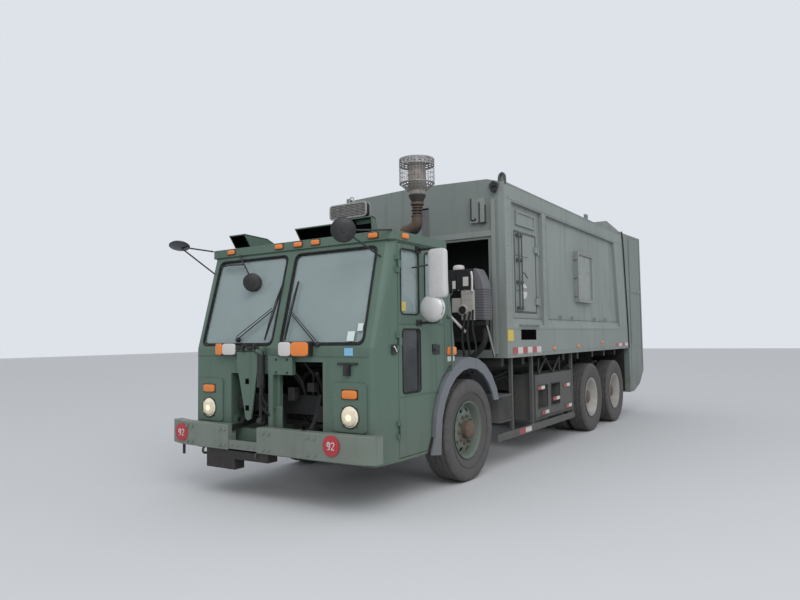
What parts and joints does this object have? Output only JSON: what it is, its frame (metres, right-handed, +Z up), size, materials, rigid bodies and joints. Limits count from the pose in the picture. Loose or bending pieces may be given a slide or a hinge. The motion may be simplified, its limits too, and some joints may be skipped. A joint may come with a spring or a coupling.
{
  "type": "garbage truck",
  "caption": "Low cab-forward rear-loading garbage truck with a tilting cab, steered front wheels, twin drive wheels, hollow load body with ejector, lifting tailgate and packer",
  "frame": {"origin": "on the ground under the middle of the whole length and width", "axes": "+X to the truck's left, +Y to its rear, +Z up"},
  "size_m": [3, 9.365, 3.522],
  "materials": {
    "paint": "semi-gloss olive green",
    "dark_paint": "satin black",
    "white_paint": "gloss white, dirty",
    "steel": "bare steel, dirty",
    "cast": "rough black",
    "tyre": "matte",
    "glass": "clear, slightly grey",
    "lamp": "clear lenses",
    "lamp_red": "clear lenses",
    "trim": "matte",
    "seat": "woven",
    "rubber": "matte"
  },
  "bodies": {
    "chassis": {"frame_rails": "dark_paint", "front_bumper": "paint", "front_axle": "cast", "front_springs": "steel", "tandem_springs": "steel", "drive_axles": "cast", "engine": "cast", "exhaust": "steel", "air_intake": "dark_paint", "cooler_rack": "dark_paint", "side_boxes": "dark_paint", "tanks": "paint", "side_guards": "paint", "mud_flaps": "rubber", "front_fenders": "dark_paint", "body_subframe": "dark_paint", "body_floor": "paint", "body_sides": "paint", "body_front_wall": "paint", "body_roof": "paint", "body_frame": "paint", "body_fittings": "paint", "lifting_eyes": "paint"},
    "cab": {"cab_shell": "paint", "cab_roof": "paint", "windshield": "glass", "dashboard": "trim", "seats": "seat", "headlamps": "lamp", "marker_lamps": "lamp", "lift_frame": "dark_paint", "roof_scoops": "paint", "wipers": "trim", "corner_mirrors": "trim"},
    "door_left": {"door_left": "paint", "door_glass_left": "glass"},
    "door_right": {"door_right": "paint", "door_glass_right": "glass"},
    "knuckle_left": {"knuckle_left": "cast"},
    "knuckle_right": {"knuckle_right": "cast"},
    "tie_rod": {"tie_rod": "steel"},
    "front_wheel_left": {"front_tyre_left": "tyre", "front_wheel_left": "white_paint"},
    "front_wheel_right": {"front_tyre_right": "tyre", "front_wheel_right": "white_paint"},
    "access_door": {"access_door": "paint"},
    "ejector": {"ejector": "steel"},
    "tailgate": {"tailgate_shell": "paint", "tail_lamps": "lamp_red"},
    "carriage": {"carriage": "steel"},
    "sweep_blade": {"sweep_blade": "steel"},
    "drive_wheel_1_left": {"drive_tyres_1_left": "tyre", "drive_wheels_1_left": "white_paint"},
    "drive_wheel_1_right": {"drive_tyres_1_right": "tyre", "drive_wheels_1_right": "white_paint"},
    "drive_wheel_2_left": {"drive_tyres_2_left": "tyre", "drive_wheels_2_left": "white_paint"},
    "drive_wheel_2_right": {"drive_tyres_2_right": "tyre", "drive_wheels_2_right": "white_paint"}
  },
  "joints": [
    {"name": "cab_tilt", "type": "hinge", "parent": "chassis", "child": "cab", "pos_m": [0, -4.4175, 0.72], "axis": [1, 0, 0], "range_deg": [0, 40]},
    {"name": "door_left_hinge", "type": "hinge", "parent": "cab", "child": "door_left", "pos_m": [1.196, -4.1655, 1.4], "axis": [0, 0, -1], "range_deg": [0, 75]},
    {"name": "door_right_hinge", "type": "hinge", "parent": "cab", "child": "door_right", "pos_m": [-1.196, -4.1655, 1.4], "axis": [0, 0, 1], "range_deg": [0, 75]},
    {"name": "steer_left", "type": "hinge", "parent": "chassis", "child": "knuckle_left", "pos_m": [0.9, -2.8175, 0.531], "axis": [0, 0, 1], "range_deg": [-32, 32]},
    {"name": "steer_right", "type": "hinge", "parent": "chassis", "child": "knuckle_right", "pos_m": [-0.9, -2.8175, 0.531], "axis": [0, 0, 1], "range_deg": [-32, 32]},
    {"name": "tie_rod_end", "type": "hinge", "parent": "knuckle_left", "child": "tie_rod", "pos_m": [0.9, -2.6455, 0.383], "axis": [0, 0, 1], "range_deg": [-32, 32]},
    {"name": "front_spin_left", "type": "hinge", "parent": "knuckle_left", "child": "front_wheel_left", "pos_m": [1.044, -2.8175, 0.531], "axis": [1, 0, 0], "continuous": true},
    {"name": "front_spin_right", "type": "hinge", "parent": "knuckle_right", "child": "front_wheel_right", "pos_m": [-1.044, -2.8175, 0.531], "axis": [1, 0, 0], "continuous": true},
    {"name": "access_door_hinge", "type": "hinge", "parent": "chassis", "child": "access_door", "pos_m": [1.194, -0.8535, 2.3], "axis": [0, 0, 1], "range_deg": [0, 100]},
    {"name": "ejector_slide", "type": "slide", "parent": "chassis", "child": "ejector", "axis": [0, 1, 0], "range_m": [0, 3.2]},
    {"name": "tailgate_hinge", "type": "hinge", "parent": "chassis", "child": "tailgate", "pos_m": [0, 3.3325, 3.38], "axis": [1, 0, 0], "range_deg": [0, 80]},
    {"name": "carriage_slide", "type": "slide", "parent": "tailgate", "child": "carriage", "axis": [0, -0.167, -0.986], "range_m": [0, 0.6]},
    {"name": "sweep_hinge", "type": "hinge", "parent": "carriage", "child": "sweep_blade", "pos_m": [0, 3.8825, 1.93], "axis": [1, 0, 0], "range_deg": [0, 90]},
    {"name": "drive_spin_1_left", "type": "hinge", "parent": "chassis", "child": "drive_wheel_1_left", "pos_m": [0.911, 1.3265, 0.531], "axis": [1, 0, 0], "continuous": true},
    {"name": "drive_spin_1_right", "type": "hinge", "parent": "chassis", "child": "drive_wheel_1_right", "pos_m": [-0.911, 1.3265, 0.531], "axis": [1, 0, 0], "continuous": true},
    {"name": "drive_spin_2_left", "type": "hinge", "parent": "chassis", "child": "drive_wheel_2_left", "pos_m": [0.911, 2.6465, 0.531], "axis": [1, 0, 0], "continuous": true},
    {"name": "drive_spin_2_right", "type": "hinge", "parent": "chassis", "child": "drive_wheel_2_right", "pos_m": [-0.911, 2.6465, 0.531], "axis": [1, 0, 0], "continuous": true}
  ],
  "couplings": [
    {"joint": "steer_right", "follows": "steer_left", "ratio": 1},
    {"joint": "tie_rod_end", "follows": "steer_left", "ratio": -1}
  ]
}
